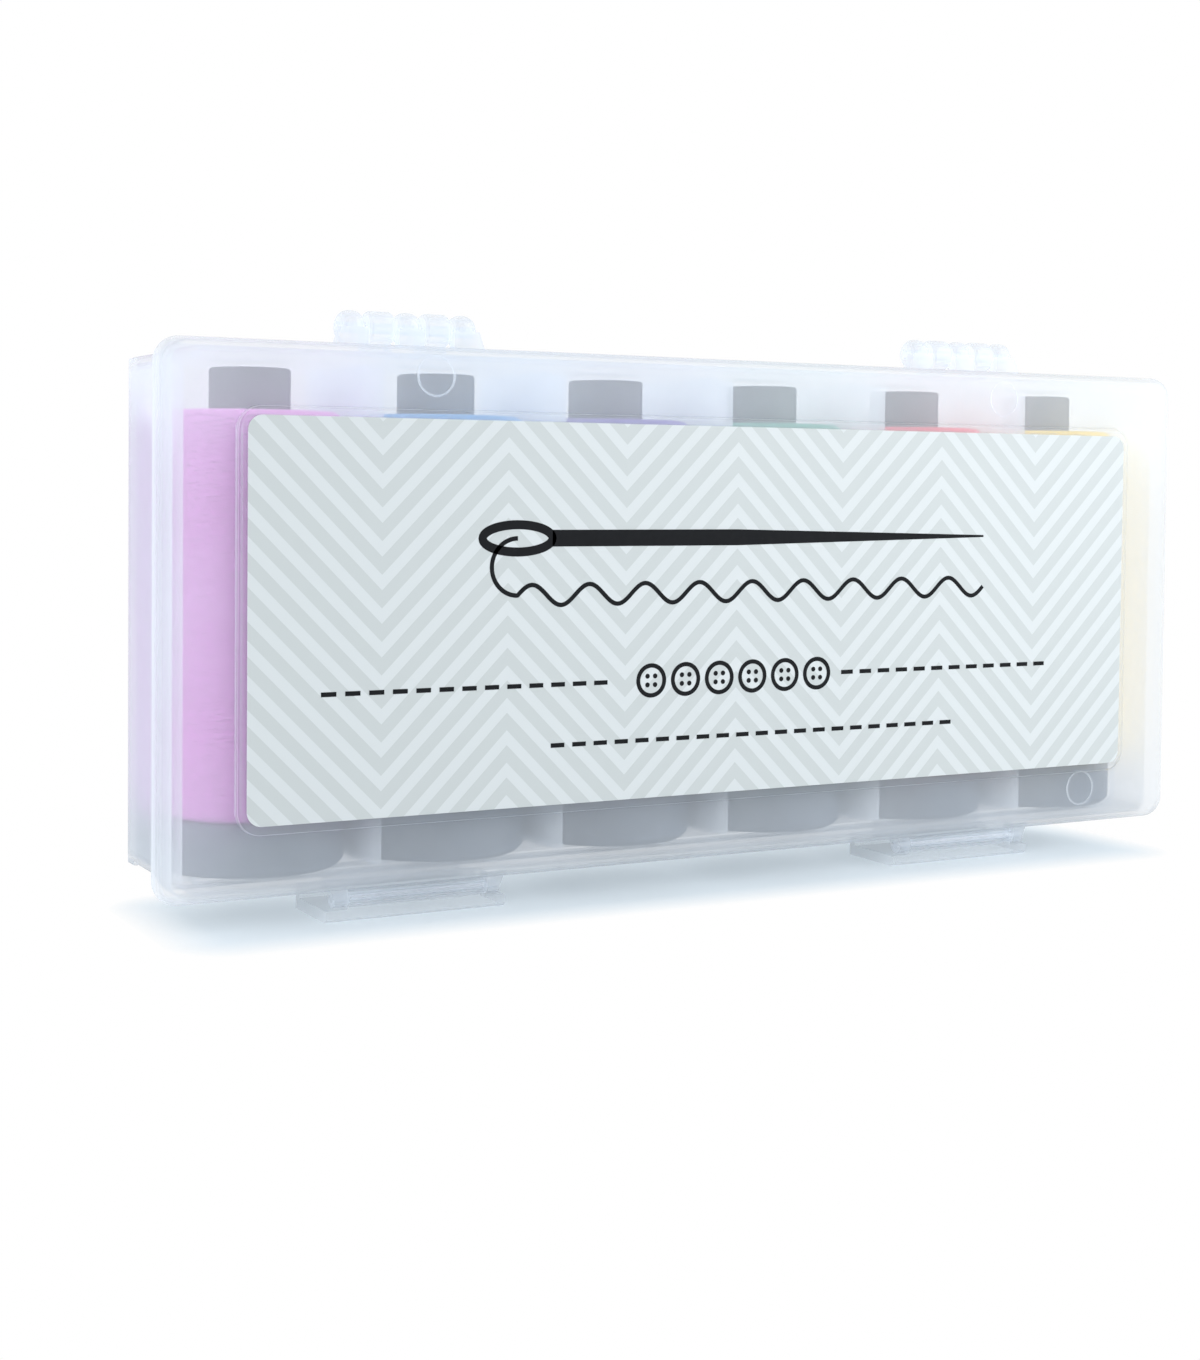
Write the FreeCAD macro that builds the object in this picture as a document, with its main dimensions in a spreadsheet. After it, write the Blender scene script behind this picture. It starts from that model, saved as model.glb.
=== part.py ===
"""A clear hinged case that stands on its latch side and holds six spools of sewing thread.

Millimetres. X runs along the case, Z is up, and the lid faces -Y.
The origin is under the middle of the case, where the latch plates meet the table.
"""
import FreeCAD, Part
import math
import os
import Sketcher
from FreeCAD import Placement, Rotation, Vector

# Driving dimensions in millimetres, and counts
SIZES = {
    # Lid
    "lid_length": 192.5,
    "lid_height": 81.6,
    "lid_depth": 10.1,
    "lid_wall": 1.2,
    "lid_corner": 3.8,
    "lid_edge": 2.0,
    "brim_depth": 2.4,
    "brim_reach": 3.0,
    "plateau_end_margin": 11.5,
    "plateau_side_margin": 9.5,
    "plateau_rise": 1.05,
    "plateau_corner": 3.8,
    "plateau_edge": 0.6,
    "label_margin": 1.5,
    "label_thick": 0.15,
    "label_corner": 2.3,
    # Base
    "base_depth": 23.3,
    "base_wall": 1.2,
    "base_corner": 3.2,
    "tray_corner": 1.2,
    "base_edge": 2.4,
    "seat_gap": 0.35,
    "back_corner": 10.0,
    "lip_depth": 4.5,
    "flange_gap": 0.2,
    "flange_thick": 1.2,
    "flange_inset": 0.6,
    "divider_thick": 1.0,
    "divider_gap": 0.3,
    "divider_edge": 0.4,
    "spool_count": 6,
    # Hinges
    "hinge_from_end": 42.45,
    "hinge_width": 23.0,
    "hinge_rise": 3.0,
    "hinge_behind_rim": 0.6,
    "knuckle_radius": 2.6,
    "lid_knuckle_round": 1.9,
    "base_knuckle_round": 0.7,
    "knuckle_flare": 1.2,
    "knuckle_gap": 0.35,
    "knuckle_side_gap": 0.2,
    "knuckle_count": 5,
    "hinge_pin_radius": 0.8,
    "pin_play": 0.05,
    "pin_seat": 0.02,
    # Latches
    "floor_gap": 5.8,
    "latch_from_end": 43.15,
    "latch_width": 30.2,
    "latch_wall": 1.6,
    "latch_plate": 1.8,
    "latch_reach": 11.9,
    "latch_inset": 3.0,
    "latch_pivot_height": 3.5,
    "latch_barrel_radius": 1.25,
    "latch_edge": 0.7,
    "hook_thick": 1.4,
    "hook_height": 4.0,
    "catch_thick": 1.8,
    "catch_gap": 0.3,
    "catch_bite": 0.6,
    "lug_radius": 1.35,
    "lug_thick": 2.2,
    "lug_gap": 0.25,
    "lug_spread": 1.2,
    "latch_pin_radius": 0.6,
    # Spools
    "cap_front_gap": 0.3,
    "cap_back_gap": 1.9,
    "cap_side_gap": 0.525,
    "cap_height": 7.9,
    "cap_floor": 1.5,
    "cap_edge": 0.8,
    "core_diameter": 12.3,
    "core_bore": 7.6,
    "core_edge": 0.3,
    "core_above_thread": 6.5,
    "core_top_gap": 0.8,
    "core_seat_gap": 0.1,
    "thread_inset": 0.3,
    "thread_edge": 0.6,
    "wrap_share": 0.8,
    "wrap_gap": 0.1,
    "wrap_turns": 24,
}
# How far a cut runs past what it cuts
OVERRUN = "Sizes.base_wall"
# Lengths below this count as nothing
TOUCHING = 1e-6
# Names of the spools from left to right, and the sign of X on each side
COLOURS = ("pink", "blue", "violet", "green", "red", "yellow")
SIDES = {"left": -1, "right": 1}

# Places that follow from the driving dimensions
DEPTH = "(Sizes.label_thick + Sizes.plateau_rise + Sizes.lid_depth + Sizes.base_depth)"
RIM_Y = f"({DEPTH} / 2 - Sizes.base_depth)"
LID_MIDDLE = "(Sizes.floor_gap + Sizes.lid_height / 2)"
LID_TOP = "(Sizes.floor_gap + Sizes.lid_height)"
LID_INSIDE_Y = f"({RIM_Y} - Sizes.lid_depth + Sizes.lid_wall)"
PLATEAU_LENGTH = "(Sizes.lid_length - 2 * Sizes.plateau_end_margin)"
PLATEAU_HEIGHT = "(Sizes.lid_height - 2 * Sizes.plateau_side_margin)"
SIDE_STEP = "(Sizes.lid_wall + Sizes.seat_gap)"
BASE_LENGTH = "(Sizes.lid_length - 2 * Sizes.brim_reach)"
BASE_HEIGHT = f"(Sizes.lid_height - 2 * {SIDE_STEP})"
BASE_BOTTOM = f"(Sizes.floor_gap + {SIDE_STEP})"
INNER_LENGTH = f"({BASE_LENGTH} - 2 * Sizes.base_wall)"
INNER_HEIGHT = f"({BASE_HEIGHT} - 2 * Sizes.base_wall)"
LIP_LENGTH = f"({INNER_LENGTH} - 2 * Sizes.lid_corner)"
BASE_BACK_Y = f"({DEPTH} / 2)"
PITCH = f"(({INNER_LENGTH} + Sizes.divider_thick) / Sizes.spool_count)"
FLANGE_BACK = "(Sizes.flange_gap + Sizes.flange_thick)"
SPOOL_FLOOR = f"({BASE_BOTTOM} + Sizes.base_wall)"
INNER_DEPTH = "(Sizes.lid_depth - Sizes.lid_wall + Sizes.base_depth - Sizes.base_wall)"
ROOM_ALONG = f"({PITCH} - Sizes.divider_thick - 2 * Sizes.cap_side_gap)"
ROOM_THROUGH = f"({INNER_DEPTH} - Sizes.cap_front_gap - Sizes.cap_back_gap)"
CAP_RADIUS = f"(min({ROOM_ALONG}; {ROOM_THROUGH}) / 2)"
SPOOL_Y = f"({LID_INSIDE_Y} + Sizes.cap_front_gap + {CAP_RADIUS})"
CORE_TOP = f"({INNER_HEIGHT} - Sizes.core_top_gap)"
THREAD_FLOOR = f"({SPOOL_FLOOR} + Sizes.cap_height)"
THREAD_HEIGHT = f"({CORE_TOP} - Sizes.core_above_thread - Sizes.cap_height)"
THREAD_RADIUS = f"({CAP_RADIUS} - Sizes.thread_inset)"
WRAP_PITCH = f"({THREAD_HEIGHT} / (Sizes.wrap_turns + 2 * Sizes.wrap_share))"
WRAP_DIAMETER = f"(Sizes.wrap_share * {WRAP_PITCH})"
HINGE_PLACE = "(Sizes.lid_length / 2 - Sizes.hinge_from_end)"
LATCH_PLACE = "(Sizes.lid_length / 2 - Sizes.latch_from_end)"
HINGE_Y = f"({RIM_Y} + Sizes.hinge_behind_rim)"
HINGE_Z = f"({LID_TOP} + Sizes.hinge_rise)"
KNUCKLE_PITCH = "((Sizes.hinge_width + Sizes.knuckle_gap) / Sizes.knuckle_count)"
KNUCKLE_WIDTH = f"({KNUCKLE_PITCH} - Sizes.knuckle_gap)"
LATCH_Y = f"({RIM_Y} - Sizes.latch_inset)"
LATCH_Z = "Sizes.latch_pivot_height"
LUG_PLACE = "(Sizes.latch_width / 2 - Sizes.lug_spread - Sizes.lug_thick / 2)"
LATCH_WALL_WIDTH = f"(2 * ({LUG_PLACE} - Sizes.lug_thick / 2 - Sizes.lug_gap))"
HOOK_FRONT = "(Sizes.latch_reach - Sizes.hook_thick)"
CATCH_BACK_Y = f"({LATCH_Y} + {HOOK_FRONT} - Sizes.catch_gap)"

doc = FreeCAD.newDocument("thread_box")
sheet = doc.addObject("Spreadsheet::Sheet", "Sizes")
for row, (alias, value) in enumerate(SIZES.items(), start=1):
    sheet.set(f"A{row}", str(value))
    sheet.setAlias(f"A{row}", alias)
doc.recompute()


def number(text):
    """Value of an expression as the sheet stands."""
    return float(sheet.evalExpression(text))


# Helpers for sketches and features
def bind_all(item, **expressions):
    """Binds properties to expressions; a double underscore stands for a dot."""
    for name, text in expressions.items():
        item.setExpression(name.replace("__", "."), text)


def place(item, x="0", y="0", z="0"):
    """Binds the three coordinates of an object's place."""
    bind_all(item, Placement__Base__x=x, Placement__Base__y=y, Placement__Base__z=z)


def new_body(label, x="0", y="0", z="0"):
    """Adds a body whose own origin lies at the given place."""
    body = doc.addObject("PartDesign::Body", label)
    body.Label = label
    place(body, x, y, z)
    return body


def sketch_on(body, role, name, **shift):
    """Adds a sketch on one of the body's own origin planes, moved by expressions."""
    plane = next(item for item in body.Origin.OriginFeatures if item.Role == role)
    sketch = body.newObject("Sketcher::SketchObject", name)
    sketch.AttachmentSupport = [(plane, "")]
    sketch.MapMode = "FlatFace"
    for axis, text in shift.items():
        sketch.setExpression(f"AttachmentOffset.Base.{axis}", text)
    return sketch


def fix_size(sketch, constraint, text):
    """Adds a constraint and binds its value."""
    index = sketch.addConstraint(constraint)
    sketch.setExpression(f"Constraints[{index}]", text)


def pin_corner(sketch, index, kind, text, value, axis):
    """Fixes one coordinate of a corner, or puts the corner on an axis where that coordinate is 0."""
    if text == 0:
        sketch.addConstraint(Sketcher.Constraint("PointOnObject", index, 1, axis))
    else:
        fix_size(sketch, Sketcher.Constraint(kind, -1, 1, index, 1, value), text)


def draw_polygon(sketch, corners):
    """Draws a closed outline; each corner is a pair of expressions, or 0 on an axis."""
    points = [Vector(number(str(x)), number(str(y)), 0) for x, y in corners]
    for start, end in zip(points, points[1:] + points[:1]):
        sketch.addGeometry(Part.LineSegment(start, end))
    for index, (x, y) in enumerate(corners):
        following = (index + 1) % len(corners)
        sketch.addConstraint(Sketcher.Constraint("Coincident", index, 2, following, 1))
        pin_corner(sketch, index, "DistanceX", x, points[index].x, -2)
        pin_corner(sketch, index, "DistanceY", y, points[index].y, -1)


def draw_rounded(sketch, width, height, corner):
    """Draws a rectangle with rounded corners, centred on the sketch's origin."""
    radius = number(corner)
    run, climb = f"{width} - 2 * ({corner})", f"{height} - 2 * ({corner})"
    x, y = number(run) / 2, number(climb) / 2
    centres = [Vector(x, -y, 0), Vector(x, y, 0), Vector(-x, y, 0), Vector(-x, -y, 0)]
    ways = [Vector(0, -radius, 0), Vector(radius, 0, 0), Vector(0, radius, 0), Vector(-radius, 0, 0)]
    for index, way in enumerate(ways):
        sketch.addGeometry(Part.LineSegment(centres[index - 1] + way, centres[index] + way))
    for index, centre in enumerate(centres):
        start = (index - 1) * math.pi / 2
        circle = Part.Circle(centre, Vector(0, 0, 1), radius)
        sketch.addGeometry(Part.ArcOfCircle(circle, start, start + math.pi / 2))
    count = len(centres)
    for index in range(count):
        arc, following = count + index, (index + 1) % count
        sketch.addConstraint(Sketcher.Constraint("Tangent", index, 2, arc, 1))
        sketch.addConstraint(Sketcher.Constraint("Tangent", arc, 2, following, 1))
        sketch.addConstraint(Sketcher.Constraint("Vertical" if index % 2 else "Horizontal", index))
    first, second, third, last = range(count, 2 * count)
    for arc in (second, third, last):
        sketch.addConstraint(Sketcher.Constraint("Equal", first, arc))
    sketch.addConstraint(Sketcher.Constraint("Symmetric", last, 3, second, 3, -1, 1))
    fix_size(sketch, Sketcher.Constraint("DistanceX", last, 3, second, 3, number(run)), run)
    fix_size(sketch, Sketcher.Constraint("DistanceY", last, 3, second, 3, number(climb)), climb)
    fix_size(sketch, Sketcher.Constraint("Radius", first, radius), corner)


def draw_circle(sketch, radius):
    """Draws a circle about the sketch's origin."""
    sketch.addGeometry(Part.Circle(Vector(), Vector(0, 0, 1), number(radius)))
    sketch.addConstraint(Sketcher.Constraint("Coincident", 0, 3, -1, 1))
    fix_size(sketch, Sketcher.Constraint("Radius", 0, number(radius)), radius)


def extrude(body, kind, sketch, length, reverse=False, both=False):
    """Adds a pad or a pocket of a sketch to its body."""
    feature = body.newObject(f"PartDesign::{kind}", f"{sketch.Name}_{kind.lower()}")
    feature.Profile = sketch
    feature.Reversed = reverse
    if both:
        feature.SideType = "Symmetric"
    feature.setExpression("Length", length)
    doc.recompute()
    return feature


def revolve(body, sketch):
    """Turns a sketch on the XZ plane about the body's own Z axis."""
    feature = body.newObject("PartDesign::Revolution", f"{sketch.Name}_turned")
    feature.Profile = sketch
    feature.ReferenceAxis = (sketch, ["V_Axis"])
    doc.recompute()
    return feature


def round_edges(body, radius, wanted):
    """Rounds the edges of the body that the test picks."""
    before = body.Tip
    names = [f"Edge{index}" for index, edge in enumerate(before.Shape.Edges, start=1) if wanted(edge)]
    feature = body.newObject("PartDesign::Fillet", f"{body.Name}_round")
    feature.Base = (before, names)
    feature.setExpression("Radius", radius)
    doc.recompute()


def lies_in(edge, y):
    """Tells whether an edge lies in the plane at that Y."""
    return abs(edge.BoundBox.YMin - y) < TOUCHING and abs(edge.BoundBox.YMax - y) < TOUCHING


def rod(label, radius, length, x, y, z):
    """Adds a round rod along X, centred on the given place."""
    item = doc.addObject("Part::Cylinder", label)
    item.Label = label
    item.Placement = Placement(Vector(), Rotation(Vector(0, 1, 0), 90))
    bind_all(item, Radius=radius, Height=length)
    place(item, f"({x}) - ({length}) / 2", y, z)
    return item


def block(label, size, corner):
    """Adds a box from its size and its lowest corner, both as expressions."""
    item = doc.addObject("Part::Box", label)
    bind_all(item, Length=size[0], Width=size[1], Height=size[2])
    place(item, *corner)
    return item


def ear(label, radius, width, rounding, foot, x, y, z):
    """Adds a rounded eye about an X axis with a square foot; foot is its Y and Z corners as expressions."""
    body = new_body(label, x, y, z)
    eye = sketch_on(body, "YZ_Plane", f"{label}_eye")
    draw_circle(eye, radius)
    extrude(body, "Pad", eye, width, both=True)
    if rounding:
        round_edges(body, rounding, lambda edge: edge.Closed)
    outline = sketch_on(body, "YZ_Plane", f"{label}_foot")
    (y0, z0), (y1, z1) = foot
    draw_polygon(outline, [(y0, z0), (y1, z0), (y1, z1), (y0, z1)])
    extrude(body, "Pad", outline, width, both=True)
    return body


def slanted_root(label, way, half_width, spread, rise, foot_y, place_at):
    """Adds a root beside an ear that spreads outwards towards the case, which lies at the given rise."""
    body = new_body(label, *place_at)
    front, back = foot_y
    outline = sketch_on(body, "XZ_Plane", f"{label}_slant", z=f"-({back})")
    inner, outer = f"{way} * ({half_width}) / 2", f"{way} * ({half_width})"
    draw_polygon(outline, [(inner, 0), (outer, 0), (f"{outer} + {way} * {spread}", rise), (inner, rise)])
    extrude(body, "Pad", outline, f"({back}) - ({front})")
    return body


def joined(label, pieces, holes):
    """Fuses pieces into one moulding and drills its holes."""
    whole = doc.addObject("Part::MultiFuse", f"{label}_moulding")
    whole.Shapes = pieces
    drills = doc.addObject("Part::MultiFuse", f"{label}_drills")
    drills.Shapes = holes
    result = doc.addObject("Part::Cut", label)
    result.Label = label
    result.Base = whole
    result.Tool = drills
    doc.recompute()
    return result


# Hinges
def knuckle_x(sign, index):
    """Place along X of one knuckle's middle."""
    return f"{sign} * {HINGE_PLACE} + ({index} - (Sizes.knuckle_count - 1) / 2) * {KNUCKLE_PITCH}"


def knuckles(owner, indices, foot):
    """Adds the knuckles of both hinges that belong to one half of the case."""
    return [ear(f"{side}_{owner}_knuckle_{index + 1}", "Sizes.knuckle_radius", KNUCKLE_WIDTH,
                f"Sizes.{owner}_knuckle_round", foot, knuckle_x(sign, index), HINGE_Y, HINGE_Z)
            for side, sign in SIDES.items() for index in indices]


def knuckle_roots(foot):
    """Adds the flared roots at the two ends of each hinge."""
    (front, bottom), (back, _) = foot
    ends = (0, int(number("Sizes.knuckle_count")) - 1)
    half_width, flare = f"{KNUCKLE_WIDTH} / 2", "Sizes.knuckle_flare"
    return [slanted_root(f"{side}_hinge_root_{end}", way, half_width, flare, bottom, (front, back),
                         (knuckle_x(sign, index), HINGE_Y, HINGE_Z))
            for side, sign in SIDES.items() for (end, way), index in zip(SIDES.items(), ends)]


def hinge_drills(owner, play):
    """Adds the drills for the two hinge pins."""
    return [rod(f"{side}_{owner}_hinge_drill", f"Sizes.hinge_pin_radius + {play}", "2 * Sizes.hinge_width",
                f"{sign} * {HINGE_PLACE}", HINGE_Y, HINGE_Z) for side, sign in SIDES.items()]


def make_hinge_pins():
    """Adds one clear pin for each hinge."""
    return [rod(f"{side}_hinge_pin", "Sizes.hinge_pin_radius", "Sizes.hinge_width",
                f"{sign} * {HINGE_PLACE}", HINGE_Y, HINGE_Z) for side, sign in SIDES.items()]


# Lid
def make_lid_panel():
    """Adds the lid's shell about the rim plane: a brim, a skirt behind it and a raised label panel."""
    body = new_body("lid_panel", "0", RIM_Y, LID_MIDDLE)
    brim = sketch_on(body, "XZ_Plane", "brim_outline", z="Sizes.lid_depth - Sizes.brim_depth")
    draw_rounded(brim, "Sizes.lid_length", "Sizes.lid_height", "Sizes.lid_corner")
    extrude(body, "Pad", brim, "Sizes.brim_depth")
    round_edges(body, "Sizes.lid_edge", lambda edge: lies_in(edge, -number("Sizes.lid_depth")))

    skirt = sketch_on(body, "XZ_Plane", "skirt_outline")
    draw_rounded(skirt, BASE_LENGTH, "Sizes.lid_height", "Sizes.lid_corner")
    extrude(body, "Pad", skirt, "Sizes.lid_depth - Sizes.brim_depth")

    plateau = sketch_on(body, "XZ_Plane", "plateau_outline", z="Sizes.lid_depth")
    draw_rounded(plateau, PLATEAU_LENGTH, PLATEAU_HEIGHT, "Sizes.plateau_corner")
    extrude(body, "Pad", plateau, "Sizes.plateau_rise")
    front = -number("Sizes.lid_depth + Sizes.plateau_rise")
    round_edges(body, "Sizes.plateau_edge", lambda edge: lies_in(edge, front))

    inset = " - 2 * Sizes.lid_wall"
    cavity = sketch_on(body, "XZ_Plane", "lid_cavity")
    draw_rounded(cavity, INNER_LENGTH, f"Sizes.lid_height{inset}", "Sizes.lid_corner - Sizes.lid_wall")
    extrude(body, "Pocket", cavity, "Sizes.lid_depth - Sizes.lid_wall", reverse=True)

    recess = sketch_on(body, "XZ_Plane", "plateau_recess", z="Sizes.lid_depth - Sizes.lid_wall")
    draw_rounded(recess, f"{PLATEAU_LENGTH}{inset}", f"{PLATEAU_HEIGHT}{inset}",
                 "Sizes.plateau_corner - Sizes.lid_wall")
    extrude(body, "Pocket", recess, "Sizes.plateau_rise", reverse=True)
    return body


def make_lugs():
    """Adds the pair of lugs that carries each latch, each with a slanted root."""
    made = []
    rise = f"Sizes.floor_gap - {LATCH_Z} + Sizes.lid_wall / 2"
    foot_y = ("-Sizes.lug_radius", "Sizes.lug_radius")
    foot = ((foot_y[0], 0), (foot_y[1], rise))
    for side, sign in SIDES.items():
        for end, way in SIDES.items():
            label = f"{side}_latch_lug_{end}"
            at = (f"{sign} * {LATCH_PLACE} + {way} * {LUG_PLACE}", LATCH_Y, LATCH_Z)
            made.append(ear(label, "Sizes.lug_radius", "Sizes.lug_thick", None, foot, *at))
            made.append(slanted_root(
                f"{label}_root", way, "Sizes.lug_thick / 2", "Sizes.lug_spread", rise, foot_y, at))
    return made


def latch_drills(owner, play):
    """Adds the drills for the two latch pins."""
    return [rod(f"{side}_{owner}_latch_drill", f"Sizes.latch_pin_radius + {play}", "2 * Sizes.latch_width",
                f"{sign} * {LATCH_PLACE}", LATCH_Y, LATCH_Z) for side, sign in SIDES.items()]


def make_lid():
    """Adds the lid: panel, outer knuckles and latch lugs in one moulding."""
    foot_bottom = "-Sizes.hinge_rise - Sizes.lid_wall / 2"
    foot = (("-Sizes.knuckle_radius", foot_bottom), ("-Sizes.knuckle_side_gap - Sizes.hinge_behind_rim", 0))
    count = int(number("Sizes.knuckle_count"))
    pieces = [make_lid_panel()] + knuckles("lid", range(0, count, 2), foot)
    pieces += knuckle_roots(foot) + make_lugs()
    holes = hinge_drills("lid", "Sizes.pin_play") + latch_drills("lid", "Sizes.pin_seat")
    return joined("lid_shell", pieces, holes)


def make_label():
    """Adds the thin label on the raised panel."""
    body = new_body("front_label", "0", f"{RIM_Y} - Sizes.lid_depth - Sizes.plateau_rise", LID_MIDDLE)
    outline = sketch_on(body, "XZ_Plane", "label_outline")
    inset = " - 2 * Sizes.label_margin"
    draw_rounded(outline, f"{PLATEAU_LENGTH}{inset}", f"{PLATEAU_HEIGHT}{inset}", "Sizes.label_corner")
    extrude(body, "Pad", outline, "Sizes.label_thick")
    return body


# Base
def make_tray():
    """Adds the tray with its lip, rim flange and dividers as a body about the rim plane."""
    body = new_body("tray", "0", RIM_Y, LID_MIDDLE)
    outline = sketch_on(body, "XZ_Plane", "tray_outline", z="-Sizes.base_depth")
    draw_rounded(outline, BASE_LENGTH, BASE_HEIGHT, "Sizes.base_corner")
    extrude(body, "Pad", outline, "Sizes.base_depth - Sizes.flange_gap")
    round_edges(body, "Sizes.base_edge", lambda edge: lies_in(edge, number("Sizes.base_depth")))

    lip = sketch_on(body, "XZ_Plane", "lip_outline", z="-Sizes.flange_gap")
    draw_rounded(lip, LIP_LENGTH, BASE_HEIGHT, "Sizes.base_wall / 4")
    extrude(body, "Pad", lip, "Sizes.flange_gap + Sizes.lip_depth")

    flange = sketch_on(body, "XZ_Plane", "flange_outline", z=f"-{FLANGE_BACK}")
    draw_rounded(flange, BASE_LENGTH, "Sizes.lid_height - 2 * Sizes.flange_inset", "Sizes.base_corner")
    extrude(body, "Pad", flange, "Sizes.flange_thick")

    cavity = sketch_on(body, "XZ_Plane", "tray_cavity", z="Sizes.lip_depth")
    draw_rounded(cavity, INNER_LENGTH, INNER_HEIGHT, "Sizes.tray_corner")
    extrude(body, "Pocket", cavity, "Sizes.base_depth + Sizes.lip_depth - Sizes.base_wall")
    add_dividers(body)
    return body


def add_dividers(body):
    """Adds the row of dividers, which stand out of the tray as far as the lid leaves room."""
    root = "Sizes.base_wall / 4"
    back = f"(Sizes.base_depth - Sizes.base_wall + {root})"
    top = f"({INNER_HEIGHT} / 2 + {root})"
    step = "(Sizes.base_wall - Sizes.lip_depth)"
    neck = f"({INNER_HEIGHT} / 2 - Sizes.divider_edge)"
    front = f"({LID_INSIDE_Y} + Sizes.divider_gap - {RIM_Y})"
    nose = f"({neck} - Sizes.divider_edge)"
    half = [(back, top), (step, top), (step, neck), (front, nose)]
    sketch = sketch_on(body, "YZ_Plane", "divider_outline", z=f"(1 - Sizes.spool_count / 2) * {PITCH}")
    draw_polygon(sketch, half + [(y, f"-{z}") for y, z in reversed(half)])
    divider = extrude(body, "Pad", sketch, "Sizes.divider_thick", both=True)
    row = body.newObject("PartDesign::LinearPattern", "divider_row")
    row.Originals = [divider]
    axis = next(item for item in body.Origin.OriginFeatures if item.Role == "X_Axis")
    row.Direction = (axis, [""])
    bind_all(row, Length=f"(Sizes.spool_count - 2) * {PITCH}", Occurrences="Sizes.spool_count - 1")
    body.Tip = row
    doc.recompute()


def corner_wedge(label, sign, radius, extra, corner, span):
    """Adds what lies outside a round upright corner: a square post less a column."""
    (side, back), (bottom, height) = corner, span
    reach = f"({radius} + {extra})"
    x, y = f"{sign} * ({side} - {radius})", f"{back} - {radius}"
    lowest = (f"{x} - (1 - {sign}) / 2 * {reach}", y, bottom)
    square = block(f"{label}_square", (reach, reach, height), lowest)
    column = doc.addObject("Part::Cylinder", f"{label}_column")
    bind_all(column, Radius=radius, Height=height)
    place(column, x, y, bottom)
    wedge = doc.addObject("Part::Cut", label)
    wedge.Base = square
    wedge.Tool = column
    return wedge


def back_corner_fills():
    """Adds the material that rounds the tray's two back corners inside."""
    corner = (f"{INNER_LENGTH} / 2", f"{BASE_BACK_Y} - Sizes.base_wall")
    span = (f"{BASE_BOTTOM} + Sizes.base_wall / 2", f"{BASE_HEIGHT} - Sizes.base_wall")
    radius = "(Sizes.back_corner - Sizes.base_wall)"
    return [corner_wedge(f"{side}_corner_fill", sign, radius, "Sizes.base_wall / 2", corner, span)
            for side, sign in SIDES.items()]


def back_corner_cuts():
    """Adds the cuts that round the tray's two back corners outside."""
    corner = (f"{BASE_LENGTH} / 2", BASE_BACK_Y)
    span = (f"{BASE_BOTTOM} - {OVERRUN}", f"{BASE_HEIGHT} + 2 * {OVERRUN}")
    return [corner_wedge(f"{side}_corner_cut", sign, "Sizes.back_corner", OVERRUN, corner, span)
            for side, sign in SIDES.items()]


def make_catches():
    """Adds the ridge under the tray that each latch hooks behind."""
    bottom = "Sizes.hook_height - Sizes.catch_bite"
    top = f"{BASE_BOTTOM} + Sizes.base_wall / 2"
    size = (LATCH_WALL_WIDTH, "Sizes.catch_thick", f"{top} - ({bottom})")
    front = f"{CATCH_BACK_Y} - Sizes.catch_thick"
    made = []
    for side, sign in SIDES.items():
        end = f"{sign} * {LATCH_PLACE} - {LATCH_WALL_WIDTH} / 2"
        made.append(block(f"{side}_catch", size, (end, front, bottom)))
    return made


def make_base():
    """Adds the base: tray, inner knuckles and catches in one moulding."""
    foot_bottom = f"-Sizes.hinge_rise - {SIDE_STEP} - Sizes.base_wall / 2"
    foot_front = "Sizes.flange_gap - Sizes.hinge_behind_rim + Sizes.knuckle_side_gap"
    foot = ((foot_front, foot_bottom), ("Sizes.knuckle_radius", 0))
    count = int(number("Sizes.knuckle_count"))
    pieces = [make_tray()] + back_corner_fills() + knuckles("base", range(1, count, 2), foot) + make_catches()
    return joined("base_tray", pieces, hinge_drills("base", "Sizes.pin_seat") + back_corner_cuts())


# Latches
def add_latch_plate(body, front):
    """Adds a latch's plate, which the case stands on, and the hook at its back."""
    floor, plate_top = f"-{LATCH_Z}", f"Sizes.latch_plate - {LATCH_Z}"
    hook_top = f"Sizes.hook_height - {LATCH_Z}"
    plate = sketch_on(body, "YZ_Plane", f"{body.Name}_plate")
    draw_polygon(plate, [
        (front, floor), ("Sizes.latch_reach", floor), ("Sizes.latch_reach", hook_top),
        (HOOK_FRONT, hook_top), (HOOK_FRONT, plate_top), (front, plate_top)])
    extrude(body, "Pad", plate, "Sizes.latch_width", both=True)
    lowest = number(floor) + TOUCHING
    round_edges(body, "Sizes.latch_edge", lambda edge: edge.BoundBox.ZMax < lowest and edge.BoundBox.YMax < 0)


def add_latch_wall(body, front, back):
    """Adds a latch's wall from the plate up to the bored barrel on its pin."""
    plate_middle = f"Sizes.latch_plate / 2 - {LATCH_Z}"
    wall = sketch_on(body, "YZ_Plane", f"{body.Name}_wall")
    draw_polygon(wall, [(front, plate_middle), (back, plate_middle), (back, 0), (front, 0)])
    extrude(body, "Pad", wall, LATCH_WALL_WIDTH, both=True)
    barrel = sketch_on(body, "YZ_Plane", f"{body.Name}_barrel")
    draw_circle(barrel, "Sizes.latch_barrel_radius")
    extrude(body, "Pad", barrel, LATCH_WALL_WIDTH, both=True)
    bore = sketch_on(body, "YZ_Plane", f"{body.Name}_bore")
    draw_circle(bore, "Sizes.latch_pin_radius + Sizes.pin_play")
    extrude(body, "Pocket", bore, "2 * Sizes.latch_width", both=True)


def make_latch(side, sign):
    """Adds a swing latch: a wall below the pin, a plate under the base and a hook at its end."""
    body = new_body(f"{side}_latch", f"{sign} * {LATCH_PLACE}", LATCH_Y, LATCH_Z)
    front, back = "-Sizes.latch_wall / 2", "Sizes.latch_wall / 2"
    add_latch_plate(body, front)
    add_latch_wall(body, front, back)
    return body


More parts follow.
